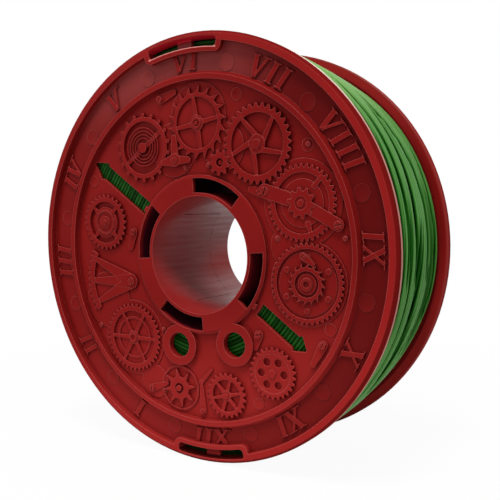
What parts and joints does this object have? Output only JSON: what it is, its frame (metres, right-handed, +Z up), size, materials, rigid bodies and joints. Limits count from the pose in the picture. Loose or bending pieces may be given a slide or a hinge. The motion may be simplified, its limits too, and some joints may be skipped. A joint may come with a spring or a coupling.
{
  "type": "filament spool",
  "caption": "Moulded reel with broad ringed flanges, an open hub bore and arrow windows, wound full of thin round filament",
  "frame": {"origin": "on the spool's axis at mid-width", "axes": "+Y along the spool's axis from the shown face to the hidden one, +Z up, +X to the right of the shown face"},
  "size_m": [0.2, 0.068, 0.2],
  "materials": {
    "spool_plastic": "satin moulded",
    "filament_plastic": "smooth, soft gloss"
  },
  "bodies": {
    "root": {"front_half": "spool_plastic", "rear_half": "spool_plastic", "filament_core": "filament_plastic", "filament_outer_layer": "filament_plastic"}
  },
  "joints": []
}
